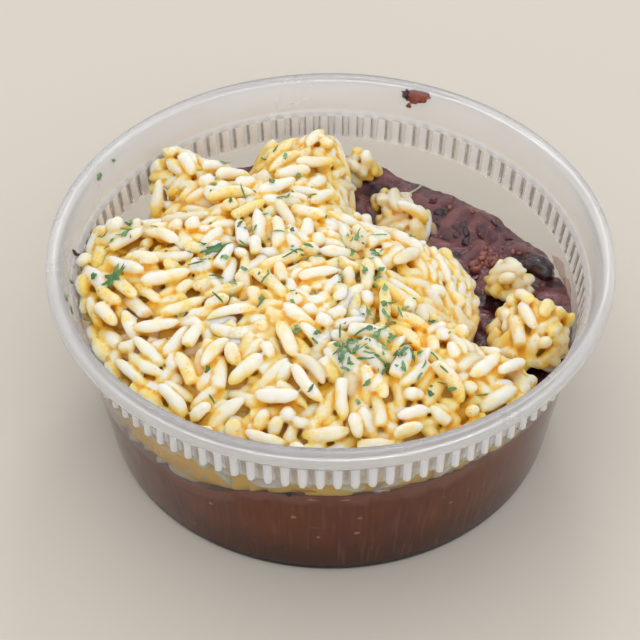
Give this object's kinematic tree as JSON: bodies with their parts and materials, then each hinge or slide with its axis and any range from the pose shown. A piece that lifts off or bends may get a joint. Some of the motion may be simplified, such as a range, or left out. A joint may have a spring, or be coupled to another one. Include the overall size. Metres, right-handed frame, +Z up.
{
  "type": "tub of rice and beans",
  "caption": "Round clear plastic deli tub filled with mashed dark beans under an uneven heap of seasoned rice with chopped dried herbs.",
  "frame": {"origin": "centre of the tub's base, on the surface that it stands on", "axes": "+Z up along the tub's axis; -Y towards the side that the picture's camera looks from; +X to the right there, the side where the beans are bare"},
  "size_m": [0.117, 0.117, 0.0465],
  "materials": {
    "tub_plastic": "clear, slightly milky thin polypropylene, glossy",
    "bean_mash": null,
    "rice": null,
    "bean_skin": null
  },
  "bodies": {
    "root": {"tub": "tub_plastic", "bean_mash": "bean_mash", "rice_heap": "rice", "rice_clump_right": "rice", "rice_clump_middle": "rice", "rice_clump_lobe": "rice", "rice_clump_tip": "rice", "whole_bean": "bean_skin"}
  },
  "joints": []
}
